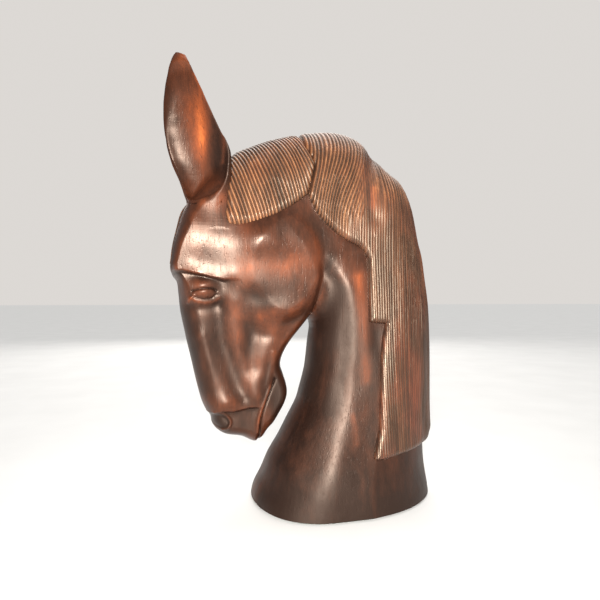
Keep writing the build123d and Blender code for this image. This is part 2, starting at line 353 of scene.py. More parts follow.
def rounded_form(depth, across, round_in, half):
    """Below 0 inside a form whose side is half out from the middle and rounds in at its outline."""
    edge = np.maximum(round_in - depth, 0) / round_in
    return half * (np.sqrt(edge * edge + (across / half) ** 2) - 1)


def head_form(x, y, z):
    return rounded_form(HEAD_DEPTH.at(x, z), np.abs(y), HEAD_ROUND.at(x, z), soft_rows(HEAD_HALF, z))


def neck_form(x, y, z):
    back = smoothstep((x + 30) / 50)
    round_in = soft_rows(NECK_FRONT_ROUND, z) * (1 - back) + soft_rows(NECK_BACK_ROUND, z) * back
    return rounded_form(NECK_DEPTH.at(x, z), np.abs(y), round_in, soft_rows(NECK_HALF, z))


def ear_axes(x, y, z):
    """Across the ear, and outwards through it, from its middle line at each height."""
    dx = x - soft_rows(EAR_ROWS, z, 3)
    dy = -np.abs(y) + soft_rows(EAR_ROWS, z, 4)
    across = dx * math.cos(EAR_TURN) - dy * math.sin(EAR_TURN)
    outwards = -dx * math.sin(EAR_TURN) - dy * math.cos(EAR_TURN)
    return across, outwards


def ear_leaf(x, y, z, grow=0.0):
    across, outwards = ear_axes(x, y, z)
    width, depth = soft_rows(EAR_ROWS, z, 1, 4) + grow, soft_rows(EAR_ROWS, z, 2, 4) + grow
    leaf = depth * (np.sqrt((across / width) ** 2 + (outwards / depth) ** 2) - 1)
    return np.maximum(leaf, z - 449)


def ear_form(x, y, z):
    across, outwards = ear_axes(x, y, z)
    width, depth = soft_rows(SCOOP_ROWS, z, 1, 3), soft_rows(SCOOP_ROWS, z, 2, 3)
    left = (across + EAR_THIN_WALL) / width
    out = (outwards - soft_rows(SCOOP_SHIFT_ROWS, z)) / depth
    scoop = depth * (np.sqrt(left * left + out * out) - 1)
    leaf = blend_cut(ear_leaf(x, y, z), outwards - soft_rows(RIM_ROWS, z, 1, 4), 2.0)
    chips = np.maximum((z - 443 + 0.5 * (x + 168)) * 0.8, (x + 166) * 0.91 + (z - 441) * 0.41)
    chips = np.maximum(chips, 2.2 - np.hypot(x + 143.5, z - 406))
    leaf = np.maximum(np.maximum(leaf, chips), 284 - z)
    return blend_cut(leaf, -scoop, 2.2)


def body_form(x, y, z):
    """The whole horse without its hair."""
    head = head_form(x, y, z) - HEAD_RELIEF.at(x, z)
    neck = neck_form(x, y, z) - NECK_RELIEF.at(x, z)
    fillet = 2.5 + 22 * smoothstep((z - 222) / 70)
    body = blend_union(neck, head, fillet)
    if np.max(z) > 275:
        body = blend_union(body, ear_form(x, y, z), 9.0)
    return body


def under_hair(x, y, z):
    return blend_union(neck_form(x, y, z), head_form(x, y, z), 18.0)


# ---------------------------------------------------------------- hair
FALL_DEPTH = Sheet(0.5)
LOCK_DEPTH = Sheet(0.5)
fall_outline = np.vstack([
    smooth_curve(FALL_FRONT), FALL_SIDE[1:], smooth_curve(FALL_HEM)[1:],
    [(130, 56), (130, 470), (-52, 470)], smooth_curve(LOCK_VALLEY)[::-1][:-1],
])
lock_outline = np.vstack([
    smooth_curve(LOCK_EDGE), smooth_curve(LOCK_VALLEY)[1:], [(-52, 470), (-124, 470)],
])
FALL_DEPTH.values = depth_inside(fall_outline, FALL_DEPTH.x, FALL_DEPTH.z)
LOCK_DEPTH.values = depth_inside(lock_outline, LOCK_DEPTH.x, LOCK_DEPTH.z)

HAIR_THICKNESS = 7.5
STRAND_PITCH, FINE_PITCH = 3.9, 2.7
FALL_VALLEY = [(38, 386), (30, 368), (19, 348), (13, 330), (13, 313), (17, 292)]
FALL_HOLLOWS = Sheet(0.5)
FALL_HOLLOWS.ridge(FALL_VALLEY, -2.6, 9)
FALL_HOLLOWS.ridge([(92, 284), (84, 272), (78, 250), (76, 220)], -1.4, 8)
FALL_HOLLOWS.bump((22, 298), 3.4, (42, 24))
LOCK_EDGING = Sheet(0.5)
LOCK_EDGING.ridge([(-122, 344), (-125, 315), (-125.5, 287)], 1.2, 1.6)
FALL_SMOOTH = Sheet(1.0)
FALL_SMOOTH.ridge(FALL_VALLEY, 1.0, 10)


def strand_profile(phase, depth, seed):
    """Rounded strands with narrow valleys; each strand has a height of its own."""
    wave = 0.5 - 0.5 * np.cos(2 * np.pi * phase)
    heights = np.random.default_rng(seed).uniform(0.0, 0.28, 400)
    own = heights[np.floor(phase).astype(int) % 400]
    return depth * (np.sqrt(wave + 0.02) - 1.0 - own * wave)


def edge_roll(depth, reach, low):
    """Hair rolls down to a low edge at its boundary."""
    t = np.clip(depth / reach, 0, 1)
    return low + (1 - low) * np.sqrt(t * (2 - t))


def lock_phase(x, y, z):
    lean = 0.36 * (z - 320) + 0.0012 * (z - 330) ** 2
    wander = 1.1 * lattice_noise(x, z * 0.35, 15, SEED + 1)
    return (x + lean + wander) / (STRAND_PITCH * 0.93)


def crest_phase(x, y, z):
    """The coarse strands over the crest sweep down to the front, and part at the smooth valley."""
    sweep = 23 * smoothstep((368 - z) / 84)
    share = (0.55 + 0.6 * smoothstep((x + 50) / 45)) * (1 - smoothstep((x - 4) / 28))
    wander = 1.3 * lattice_noise(x, z * 0.25, 14, SEED + 2)
    return (x + sweep * share + wander) / STRAND_PITCH


BACK_TURN_END = [  # height, where the strands' turn round the back ends
    (56, 96), (80, 102), (120, 105), (174, 105), (230, 100), (270, 92), (300, 85), (330, 72),
]
BACK_TURN_RADIUS = 48.0


def back_arc(x, y, z):
    """How much further it is along the surface than along x, on the way round the back."""
    radius = BACK_TURN_RADIUS
    inside = np.maximum(radius - (from_rows(BACK_TURN_END, z) - x), 0) / radius
    angle = np.arctan2(inside, np.abs(y) / radius + 1e-6)
    return radius * (angle - np.sin(angle))


def fine_phase(x, y, z):
    """The finer strands below the crest hang straight down, spaced evenly round the back."""
    wander = 1.6 * lattice_noise(x, z * 0.12, 13, SEED + 12)
    return (x + back_arc(x, y, z) + wander) / FINE_PITCH


def crest_share(x, z):
    """1 where the strands are coarse, 0 where they are fine; the change is higher up towards the back."""
    change = 262 + 26 * smoothstep((x + 10) / 40)
    return smoothstep((z - change) / 36) * (1 - FALL_SMOOTH.at(x, z))


def fall_relief(x, y, z):
    depth = FALL_DEPTH.at(x, z)
    to_back = smoothstep((x - 55) / 35)
    roll = edge_roll(depth, 6 + 10 * to_back * smoothstep((90 - z) / 20), 0.30 - 0.28 * to_back)
    coarse = strand_profile(crest_phase(x, y, z), 1.55, SEED + 3) * crest_share(x, z)
    fine_depth = (0.60 + 0.25 * to_back - 0.22 * smoothstep((200 - z) / 60)) * smoothstep((324 - z) / 40)
    fine = strand_profile(fine_phase(x, y, z), 1.0, SEED + 13) * fine_depth
    clumps = 0.8 * lattice_noise(x + back_arc(x, y, z), z * 0.13, 9.5, SEED + 14)
    clumps = clumps * smoothstep((300 - z) / 40)
    return HAIR_THICKNESS * roll + FALL_HOLLOWS.at(x, z) + coarse + fine + clumps * roll


def lock_relief(x, y, z):
    depth = LOCK_DEPTH.at(x, z)
    roll = edge_roll(depth, 8, 0.35)
    smooth = (HAIR_THICKNESS - 0.5) * roll + LOCK_EDGING.at(x, z)
    return smooth + strand_profile(lock_phase(x, y, z), 1.6, SEED + 4)


def fall_form(x, y, z):
    return under_hair(x, y, z) - fall_relief(x, y, z)


def lock_form(x, y, z):
    return under_hair(x, y, z) - lock_relief(x, y, z)


FORELOCK_HALF = [(244, 0.5), (262, 8), (300, 17), (360, 19)]


def forelock_phase(x, y, z):
    return y / from_rows(FORELOCK_HALF, z) * 4.6 + 0.5 + 0.25 * lattice_noise(y, z * 0.3, 9, SEED + 5)


def forelock_form(x, y, z):
    crown = np.sqrt(np.clip(1 - (y / from_rows(FORELOCK_HALF, z)) ** 2, 0, 1))
    return head_form(x, y, z) - 1.2 - 3.6 * crown - strand_profile(forelock_phase(x, y, z), 1.1, SEED + 6)


# ---------------------------------------------------------------- regions that pieces are cut by
def left_board(x, y, z):
    return y + HALF_CENTRE_BOARD


def centre_board(x, y, z):
    return np.abs(y) - HALF_CENTRE_BOARD


def behind_split(x, y, z):
    return from_rows(SPLIT, z) - x


def hole(x, y, z, centre, axis, radius, half_length):
    """Above 0 inside a round hole: a region that leaves the hole out is below 0 elsewhere."""
    d = (x - centre[0], y - centre[1], z - centre[2])
    along = d[0] * axis[0] + d[1] * axis[1] + d[2] * axis[2]
    out = np.sqrt(np.maximum(d[0] ** 2 + d[1] ** 2 + d[2] ** 2 - along**2, 0))
    return np.minimum(radius - out, half_length - np.abs(along))


def ear_region(x, y, z):
    return np.maximum(ear_leaf(x, y, z, 1.5), EAR_ROOT_Z - z)


def all_of(*parts):
    """A region inside all of the given ones."""
    def region(x, y, z):
        values = parts[0](x, y, z)
        for part in parts[1:]:
            values = np.maximum(values, part(x, y, z))
        return values
    return region


def outside(form):
    return lambda x, y, z: -form(x, y, z)


# ---------------------------------------------------------------- from forms to meshes
CORNERS = np.array([(i, j, k) for i in (0, 1) for j in (0, 1) for k in (0, 1)])
EDGES = [(a, b) for a in range(8) for b in range(a + 1, 8) if np.abs(CORNERS[a] - CORNERS[b]).sum() == 1]


def corner_values(values, cells):
    return np.stack([values[tuple((cells + corner).T)] for corner in CORNERS], axis=1)


def surface_net(values, low, step):
    """One point in each grid cell that the surface passes through, joined by four-sided faces."""
    inside = values < 0
    shape = np.array(values.shape) - 1
    count = np.zeros(shape, np.int8)
    for i, j, k in CORNERS:
        count += inside[i : i + shape[0], j : j + shape[1], k : k + shape[2]]
    cells = np.argwhere((count > 0) & (count < 8))
    number = np.full(shape, -1, np.int32)
    number[tuple(cells.T)] = np.arange(len(cells))

    at = corner_values(values, cells)
    total, hits = np.zeros((len(cells), 3)), np.zeros(len(cells))
    for a, b in EDGES:
        crossed = (at[:, a] < 0) != (at[:, b] < 0)
        part = at[crossed, a] / (at[crossed, a] - at[crossed, b])
        total[crossed] += CORNERS[a] + part[:, None] * (CORNERS[b] - CORNERS[a])
        hits[crossed] += 1
    points = low + step * (cells + total / hits[:, None])

    faces = []
    for axis in range(3):
        b, c = (axis + 1) % 3, (axis + 2) % 3
        first = np.take(inside, range(values.shape[axis] - 1), axis)
        second = np.take(inside, range(1, values.shape[axis]), axis)
        for flip, found in ((False, first & ~second), (True, second & ~first)):
            at_edge = np.argwhere(found)
            ring = []
            for db, dc in ((-1, -1), (0, -1), (0, 0), (-1, 0)):
                cell = at_edge.copy()
                cell[:, b] += db
                cell[:, c] += dc
                ring.append(number[tuple(cell.T)])
            quads = np.stack(ring, axis=1)
            faces.append(quads[:, ::-1] if flip else quads)
    return points, np.vstack(faces), cells


def slope(form, points, reach=0.15):
    """A form's value at some points, and the direction it grows in."""
    x, y, z = points.T
    here = form(x, y, z)
    there = [form(x + reach, y, z), form(x, y + reach, z), form(x, y, z + reach)]
    return here, np.stack([(value - here) / reach for value in there], axis=1)


def settle(points, form, region, on_edge, step):
    """Moves the points onto the form or the region's wall, and onto both along their shared edge."""
    for _ in range(2):
        f, df = slope(form, points)
        g, dg = slope(region, points)
        ff, gg, fg = (df * df).sum(1), (dg * dg).sum(1), (df * dg).sum(1)
        use_f = f > g
        move = np.where(use_f[:, None], -(f / (ff + 1e-6))[:, None] * df, -(g / (gg + 1e-6))[:, None] * dg)
        spread = ff * gg - fg * fg
        both = on_edge & (spread > 0.05 * ff * gg)
        a = (-f * gg + g * fg) / (spread + 1e-9)
        b = (-g * ff + f * fg) / (spread + 1e-9)
        move[both] = (a[:, None] * df + b[:, None] * dg)[both]
        length = np.linalg.norm(move, axis=1)
        points = points + move * np.minimum(1, 0.8 * min(step) / (length + 1e-9))[:, None]
    return points


def carve(form, region, low, high, step):
    """Points and faces of the part of a form that lies in a region, inside a box."""
    step = np.array(step, float)
    low = (np.floor(np.array(low) / step) - 1.5) * step
    high = np.array(high) + 2 * step
    axes = [np.arange(low[n], high[n], step[n]) for n in range(3)]
    x, y, z = axes[0][:, None, None], axes[1][None, :, None], axes[2][None, None, :]
    form_values = form(x, y, z).astype(np.float32)
    region_values = np.broadcast_to(region(x, y, z), form_values.shape).astype(np.float32)
    points, faces, cells = surface_net(np.maximum(form_values, region_values), low, step)
    at_form, at_region = corner_values(form_values, cells), corner_values(region_values, cells)
    crosses_form = (at_form.min(1) < 0) & (at_form.max(1) >= 0)
    crosses_region = (at_region.min(1) < 0) & (at_region.max(1) >= 0)
    on_edge = crosses_form & crosses_region
    return settle(points, form, region, on_edge, step), faces


def corner_normals(points, faces, form, region):
    """The true direction of the surface at each face corner: the form's, or the cut wall's."""
    f, df = slope(form, points, 0.2)
    g, dg = slope(region, points, 0.2)
    df /= np.linalg.norm(df, axis=1, keepdims=True) + 1e-9
    dg /= np.linalg.norm(dg, axis=1, keepdims=True) + 1e-9
    cut = np.abs(g)[faces].max(1) < np.abs(f)[faces].max(1)
    return np.where(cut[:, None, None], dg[faces], df[faces])


def mirrored(points, faces, normals):
    return points * (1, -1, 1), faces[:, ::-1], normals[:, ::-1] * (1, -1, 1)


def add_mesh(name, points, faces, normals, marks):
    """A mesh object with its own normals and a painted mark for each name in marks."""
    mesh = bpy.data.meshes.new(name)
    mesh.vertices.add(len(points))
    mesh.vertices.foreach_set("co", (points * MM).astype(np.float32).ravel())
    mesh.loops.add(faces.size)
    mesh.loops.foreach_set("vertex_index", faces.astype(np.int32).ravel())
    mesh.polygons.add(len(faces))
    mesh.polygons.foreach_set("loop_start", np.arange(0, faces.size, 4, dtype=np.int32))
    mesh.update(calc_edges=True)
    mesh.normals_split_custom_set(normals.reshape(-1, 3).tolist())
    for mark, values in marks.items():
        layer = mesh.attributes.new(mark, "FLOAT", "POINT")
        layer.data.foreach_set("value", values.astype(np.float32))
    piece = bpy.data.objects.new(name, mesh)
    bpy.context.scene.collection.objects.link(piece)
    return piece


# ---------------------------------------------------------------- painted marks: stain wear, painted shade and height
def blurred(values, cells):
    """A sheet's values averaged over a square of cells, three times over."""
    for _ in range(3):
        for axis in (0, 1):
            padded = np.concatenate([
                np.repeat(np.take(values, [0], axis), cells + 1, axis), values,
                np.repeat(np.take(values, [-1], axis), cells, axis),
            ], axis)
            total = np.cumsum(padded, axis)
            count = values.shape[axis]
            wide = np.take(total, range(2 * cells + 1, 2 * cells + 1 + count), axis)
            values = (wide - np.take(total, range(count), axis)) / (2 * cells + 1)
    return values


def wear_and_shade_sheets():
    """Where the stain has worn to red and orange, and where the surface is painted darker: painted shade in
    hollows, creases and on sides turned from the light, and darker over the neck, the base and the crest.
    """
    worn, dark = Sheet(1.0), Sheet(1.0)
    worn.bump((-110, 236), 0.55, (14, 13), 12)
    worn.bump((-82, 240), 0.5, (20, 12), -4)
    worn.bump((-50, 248), 0.25, (14, 14))
    worn.bump((-92, 194), 0.3, (16, 6), 10)
    worn.bump((-118, 196), 0.35, (7, 22), 4)
    worn.bump((-104, 135), 0.4, (8, 26), -16)
    worn.bump((-152, 366), 1.0, (8, 36), 3)
    worn.bump((-160, 366), 0.3, (14, 40), 3)
    worn.ridge([(-150, 300), (-140, 296), (-132, 306)], 0.35, 5)
    worn.ridge([(2, 232), (5, 205), (7, 170), (8, 130)], 0.6, 6.5)
    worn.ridge([(-8, 97), (-6, 85), (-5, 70)], 0.4, 3.2)
    worn.ridge([(-81, 127), (-85, 117), (-89, 107), (-92, 97), (-95, 86)], 0.4, 1.5)
    worn.ridge([(-165, 207), (-162, 210.5), (-156, 208), (-148, 206.6), (-140, 208), (-136, 210.5)],
               0.25, 1.6)
    worn.bump((-167, 440), 0.8, (9, 8))
    worn.ridge([(-158, 424), (-148, 405), (-141, 390), (-135, 376), (-131, 358), (-131.5, 342)], 0.7, 1.8)
    worn.ridge([(18, 320), (15, 303)], 0.5, 5)
    worn.ridge([(26, 170), (24, 120), (20, 70)], 0.35, 2.6)
    worn.ridge([(40, 170), (34, 110)], 0.35, 5)
    worn.bump((60, 100), 0.45, (10, 30))
    worn.bump((90, 200), 0.35, (8, 30))
    # darker over the neck below the head, and towards the bottom
    behind_head = smoothstep((dark.x - from_rows(SPLIT, dark.z)) / 8)
    dark.values += 0.4 * smoothstep((240 - dark.z) / 50) * behind_head
    dark.values += 0.55 * smoothstep((62 - dark.z) / 60)
    # painted shade: dark marks in hollows, creases and recesses, on sides turned from the light, and along
    # the neck's lit band
    dark.bump((-126, 86), 0.6, (26, 14))
    dark.bump((-74, 106), 0.8, (12, 34), 8)
    dark.ridge([(-168, 200), (-160, 160), (-152, 120)], 0.55, 7)
    dark.ridge([(-146, 196), (-138, 160), (-128, 128)], 0.36, 22)
    dark.ridge([(-28, 244), (-18, 214), (-26, 180), (-33, 150), (-44, 112)], 0.6, 8)
    dark.ridge([(-12, 218), (-10, 190), (-11, 160), (-15, 135), (-26, 100)], 0.5, 7)
    dark.ridge([(-20, 176), (-22, 139), (-32, 110), (-48, 79), (-67, 36)], 0.25, 12)
    dark.ridge([(-103, 212), (-92, 206.5), (-80, 208)], 0.45, 5)
    dark.ridge([(-112, 184), (-104, 176), (-98, 160)], 0.3, 7)
    dark.bump((-150, 219), 0.15, (20, 11))
    dark.bump((-92, 222), 0.3, (34, 18))
    dark.bump((-133, 370), 0.7, (8, 60), 6)
    dark.bump((20, 174), 0.6, (7, 14))
    dark.ridge([(18, 160), (14, 110), (10, 70)], 0.4, 5)
    # darker along the top of the crest
    dark.ridge([(-110, 385), (-50, 398), (0, 402), (50, 376)], 0.8, 24)
    return worn, dark


def hollows_of(relief):
    """How far each point of a relief lies below what is round it, where the material paints shade."""
    sheet = Sheet(0.5)
    sheet.values = blurred(relief.values, 8) - relief.values
    return sheet


WORN, DARK = wear_and_shade_sheets()
# painted shade in the hollows of the head and neck reliefs
HEAD_HOLLOW = hollows_of(HEAD_RELIEF)
NECK_HOLLOW = hollows_of(NECK_RELIEF)


def body_marks(points):
    x, y, z = points.T
    side = smoothstep((np.abs(y) - 4) / 22)
    on_head = (behind_split(x, y, z) > 0) & (z < 320)
    # painted shade: the hollow mark darkens the stain in hollows and creases, and the dark mark carries the
    # dark sheet
    hollow = np.where(on_head, HEAD_HOLLOW.at(x, z), NECK_HOLLOW.at(x, z)) * (z < 320)
    return {"worn": WORN.at(x, z) * side, "dark": DARK.at(x, z) * (0.4 + 0.6 * side), "hollow": hollow}


def hair_marks(phase, fine, share):
    """Where a point is across its strand, coarse and fine, and how much of it is coarse."""
    def marks(points):
        x, y, z = points.T
        return {
            "strand": phase(x, y, z), "fine": fine(x, y, z), "coarse": share(x, z),
            # the dark mark carries painted shade and a darker crest top
            "worn": WORN.at(x, z), "dark": DARK.at(x, z),
        }
    return marks


def no_marks(points):
    return {}


# ---------------------------------------------------------------- materials
class Nodes:
    """A short way to write a material's node tree."""

    def __init__(self, name):
        self.material = bpy.data.materials.new(name)
        self.material.use_nodes = True
        self.tree = self.material.node_tree
        self.shader = self.tree.nodes["Principled BSDF"]

    def add(self, kind, links=(), **settings):
        node = self.tree.nodes.new("ShaderNode" + kind)
        for name, value in settings.items():
            setattr(node, name, value)
        for key, value in dict(links).items():
            self.put(node.inputs[key], value)
        return node

    def put(self, socket, value):
        if isinstance(value, bpy.types.NodeSocket):
            self.tree.links.new(value, socket)
        else:
            socket.default_value = value

    def mark(self, name):
        return self.add("Attribute", attribute_name=name).outputs["Fac"]

    def math(self, operation, a, b=0.0, clamp=False):
        return self.add("Math", {0: a, 1: b}, operation=operation, use_clamp=clamp).outputs[0]

    def total(self, *terms):
        result = terms[0]
        for term in terms[1:]:
            result = self.math("ADD", result, term)
        return result

    def place(self, scale):
        where = self.add("TexCoord").outputs["Object"]
        return self.add("Mapping", {"Vector": where, "Scale": scale}).outputs[0]

    def noise(self, where, scale, detail=3.0, rough=0.55, twist=0.0):
        links = {"Vector": where, "Scale": scale, "Detail": detail, "Roughness": rough, "Distortion": twist}
        return self.add("TexNoise", links).outputs["Fac"]

    def ramp(self, value, *stops):
        node = self.add("ValToRGB", {"Fac": value})
        points = node.color_ramp.elements
        while len(points) < len(stops):
            points.new(0.5)
        for point, (at, colour) in zip(points, stops):
            point.position = at
            point.color = (*colour, 1)
        return node.outputs["Color"]

    def level(self, value, low, high, out_low=0.0, out_high=1.0):
        links = {"Value": value, "From Min": low, "From Max": high, "To Min": out_low, "To Max": out_high}
        return self.add("MapRange", links).outputs["Result"]

    def mix(self, factor, a, b):
        node = self.add("Mix", data_type="RGBA")
        self.put(node.inputs["Factor"], factor)
        self.put(node.inputs["A"], a)
        self.put(node.inputs["B"], b)
        return node.outputs["Result"]

    def between(self, share, a, b):
        return self.add("Mix", {"Factor": share, "A": a, "B": b}, data_type="FLOAT").outputs["Result"]

    def bump(self, height, distance, strength=1.0, below=None):
        links = {"Height": height, "Distance": distance, "Strength": strength}
        if below is not None:
            links["Normal"] = below
        return self.add("Bump", links).outputs["Normal"]

    def finish(self, **sockets):
        for name, value in sockets.items():
            self.put(self.shader.inputs[name.replace("_", " ")], value)
        return self.material


def rgb(red, green, blue):
    return (red, green, blue, 1.0)


def wood_grain(n):
    """Long streaks, fine fibres and short open pores, all running up the piece."""
    streaks = n.noise(n.place((30, 30, 3.2)), 3.2, 4, 0.6, 0.35)
    fibres = n.noise(n.place((260, 260, 9)), 3.0, 3, 0.6)
    pores = n.noise(n.place((620, 620, 46)), 1.0, 2, 0.5)
    return streaks, fibres, n.level(pores, 0.63, 0.76)


def stained_wood():
    """Red-brown stain under satin varnish, rubbed through to red and orange where it is worn, with painted
    shade in hollows, creases and on sides turned from the light.
    """
    n = Nodes("Stained hardwood")
    streaks, fibres, pores = wood_grain(n)
    patches = n.noise(n.place((1, 1, 0.6)), 26, 4, 0.6, 0.4)
    mottle = n.noise(n.place((1, 1, 0.5)), 95, 4, 0.65, 0.2)
    tone = n.total(
        n.math("MULTIPLY", n.mark("worn"), 0.62),
        n.level(patches, 0.3, 0.75, -0.10, 0.22),
        n.level(streaks, 0.3, 0.7, -0.08, 0.09),
        n.level(mottle, 0.3, 0.7, -0.07, 0.07),
        n.level(fibres, 0.3, 0.7, -0.05, 0.05),
        # painted shade: the dark and hollow marks darken the colour in hollows, creases and on sides turned
        # from the light; the dark mark also darkens the neck and base
        n.math("MULTIPLY", n.mark("dark"), -0.34),
        n.math("MULTIPLY", n.mark("hollow"), -0.16),
    )
    colour = n.ramp(
        n.math("ADD", tone, 0.24, clamp=True),
        (0.0, (0.011, 0.0038, 0.0022)), (0.22, (0.031, 0.0100, 0.0050)), (0.42, (0.066, 0.0185, 0.0080)),
        (0.62, (0.118, 0.0285, 0.0095)), (0.82, (0.220, 0.049, 0.0125)), (1.0, (0.42, 0.105, 0.024)),
    )
    colour = n.mix(n.math("MULTIPLY", pores, 0.55), colour, rgb(0.012, 0.0045, 0.003))
    gloss = n.total(
        n.level(mottle, 0.3, 0.7, 0.30, 0.39),
        n.math("MULTIPLY", n.mark("dark"), 0.24),
        n.math("MULTIPLY", n.mark("worn"), 0.16),
    )
    pits = n.level(n.noise(n.place((1, 1, 0.8)), 420, 2, 0.5), 0.62, 0.80)
    uneven = n.noise(n.place((1, 1, 0.45)), 42, 3, 0.5)
    normal = n.bump(uneven, 0.0011, 0.55)
    normal = n.bump(n.math("ADD", fibres, n.math("MULTIPLY", pores, -0.9)), 0.00016, 0.55, normal)
    normal = n.bump(n.math("MULTIPLY", pits, -1.0), 0.00025, 0.4, normal)
    n.shader.inputs["Specular IOR Level"].default_value = 0.5
    n.shader.inputs["Specular Tint"].default_value = rgb(1.0, 0.76, 0.62)
    return n.finish(Base_Color=colour, Roughness=gloss, Normal=normal)


def strand_crest(n, phase):
    """1 along the top of a strand and 0 in its groove."""
    wave = n.math("COSINE", n.math("MULTIPLY", phase, 2 * math.pi))
    return n.math("SUBTRACT", 0.5, n.math("MULTIPLY", wave, 0.5))


def strand_shade(n, phase):
    """A random value from 0 to 1 for each strand."""
    number = n.math("FLOOR", phase)
    return n.add("TexWhiteNoise", {"W": number}, noise_dimensions="1D").outputs["Value"]


def mane_wood():
    """The same wood in strands: painted shade darkens the grooves, and the tops are rubbed golden and
    lightened with a painted highlight.
    """
    n = Nodes("Grooved mane wood")
    streaks, fibres, pores = wood_grain(n)
    patches = n.noise(n.place((1, 1, 0.5)), 30, 4, 0.6, 0.3)
    coarse, fine = n.mark("coarse"), n.mark("fine")
    strand = n.mark("strand")
    top = n.between(coarse, strand_crest(n, fine), strand_crest(n, strand))
    own = n.between(coarse, strand_shade(n, fine), strand_shade(n, strand))
    depth = n.level(coarse, 0, 1, 0.16, 0.44)
    tone = n.total(
        # painted highlight with rubbed wear along the strand tops, and painted shade in the grooves
        n.math("MULTIPLY", n.math("POWER", top, 1.6), depth),
        n.level(patches, 0.3, 0.75, -0.12, 0.18),
        n.level(own, 0.0, 1.0, -0.07, 0.09),
        n.level(streaks, 0.3, 0.7, -0.10, 0.12),
        n.level(fibres, 0.3, 0.7, -0.08, 0.08),
        n.math("MULTIPLY", n.mark("worn"), 0.30),
        # painted shade from the dark mark along the mane's front edge, and a darker crest top
        n.math("MULTIPLY", n.mark("dark"), -0.20),
    )
    tone = n.math("ADD", tone, 0.23, clamp=True)
    gold = n.ramp(
        tone,
        (0.0, (0.011, 0.0046, 0.0028)), (0.25, (0.044, 0.0180, 0.0095)), (0.45, (0.100, 0.041, 0.0195)),
        (0.65, (0.180, 0.078, 0.035)), (0.85, (0.33, 0.165, 0.078)), (1.0, (0.52, 0.31, 0.16)),
    )
    red = n.ramp(
        tone,
        (0.0, (0.010, 0.0035, 0.0025)), (0.25, (0.048, 0.0130, 0.0080)), (0.45, (0.115, 0.030, 0.015)),
        (0.65, (0.215, 0.060, 0.024)), (0.85, (0.36, 0.115, 0.040)), (1.0, (0.52, 0.22, 0.085)),
    )
    reds = n.math("ADD", n.level(patches, 0.42, 0.62, 0.1, 0.7), n.mark("worn"), clamp=True)
    reds = n.math("MULTIPLY", reds, n.level(coarse, 0, 1, 1.0, 0.45))
    colour = n.mix(reds, gold, red)
    colour = n.mix(n.math("MULTIPLY", pores, 0.45), colour, rgb(0.012, 0.005, 0.003))
    gloss = n.level(n.math("ADD", top, fibres), 0.3, 1.5, 0.58, 0.33)
    lines = n.noise(n.place((420, 420, 10)), 1.0, 3, 0.6)
    normal = n.bump(n.math("ADD", fibres, n.math("MULTIPLY", pores, -0.8)), 0.00020, 0.7)
    normal = n.bump(lines, 0.00045, 0.6, normal)
    n.shader.inputs["Specular IOR Level"].default_value = 0.8
    n.shader.inputs["Specular Tint"].default_value = rgb(1.0, 0.80, 0.60)
    return n.finish(Base_Color=colour, Roughness=gloss, Normal=normal)


def dowel_wood():
    """Plain turned hardwood with fine growth lines."""
    n = Nodes("Dowel wood")
    grain = n.noise(n.place((220, 220, 14)), 2.4, 3, 0.6)
    colour = n.ramp(grain, (0.3, (0.42, 0.26, 0.13)), (0.7, (0.66, 0.48, 0.29)))
    return n.finish(Base_Color=colour, Roughness=0.62, Normal=n.bump(grain, 0.0002, 0.6))


def wool_felt():
    """Dark green felt: short tangled fibres with a soft sheen."""
    n = Nodes("Wool felt")
    tangle = n.noise(n.place((1, 1, 1)), 900, 4, 0.7, 1.2)
    colour = n.ramp(tangle, (0.35, (0.012, 0.030, 0.016)), (0.7, (0.040, 0.085, 0.048)))
    n.shader.inputs["Sheen Weight"].default_value = 0.6
    n.shader.inputs["Sheen Roughness"].default_value = 0.5
    return n.finish(Base_Color=colour, Roughness=0.95, Normal=n.bump(tangle, 0.0006, 0.9))


# ---------------------------------------------------------------- the pieces
SPLIT_LEAN = math.radians(19)
THROAT = (-43, 187)
DOWEL_HOLE = 6.1  # radius
SCARF_DOWEL_HOLE = 10.1


def dowel_holes(kind):
    """Regions of the dowel holes: 0.1 mm wider all round and 0.5 mm longer at each end than the dowels."""
    holes = []
    if kind == "scarf":
        axis = (math.cos(SPLIT_LEAN), 0, -math.sin(SPLIT_LEAN))
        for height in (235, 315):
            x = THROAT[0] + (height - THROAT[1]) * math.tan(SPLIT_LEAN)
            holes.append(((x, 0, height), axis, SCARF_DOWEL_HOLE, 40.5))
    elif kind == "neck":
        holes = [((x, 0, z), (0, 1, 0), DOWEL_HOLE, 42.5) for x, z in ((-45, 40), (62, 40), (30, 150))]
    elif kind == "head":
        holes = [((x, 0, z), (0, 1, 0), DOWEL_HOLE, 30.5) for x, z in ((-130, 205), (-90, 285))]
    else:
        holes = [((-142, y, 286), (0, 0, 1), DOWEL_HOLE, 22.5) for y in (-29, 29)]

    def region(x, y, z):
        return np.maximum.reduce([hole(x, y, z, *place) for place in holes])
    return region


def neck_side(x, y, z):
    return np.maximum(behind_split(x, y, z), FELT_TOP - z)


def head_side(x, y, z):
    return np.maximum(-behind_split(x, y, z), -ear_region(x, y, z))


def left_half(x, y, z):
    return y


def fall_side(x, y, z):
    ragged = 2.2 * lattice_noise(x, 0 * z, 3.1, SEED + 15) * smoothstep((80 - z) / 20)
    return -FALL_DEPTH.at(x, z + ragged)


def lock_side(x, y, z):
    return np.maximum(-LOCK_DEPTH.at(x, z), -ear_leaf(x, y, z))


def forelock_side(x, y, z):
    half = from_rows(FORELOCK_HALF, z)
    inside = np.maximum(np.maximum(np.abs(y) - half, 246 - z), x + 0.08 * (z - 300) + 127)
    return np.maximum(inside, -ear_leaf(x, y, z))


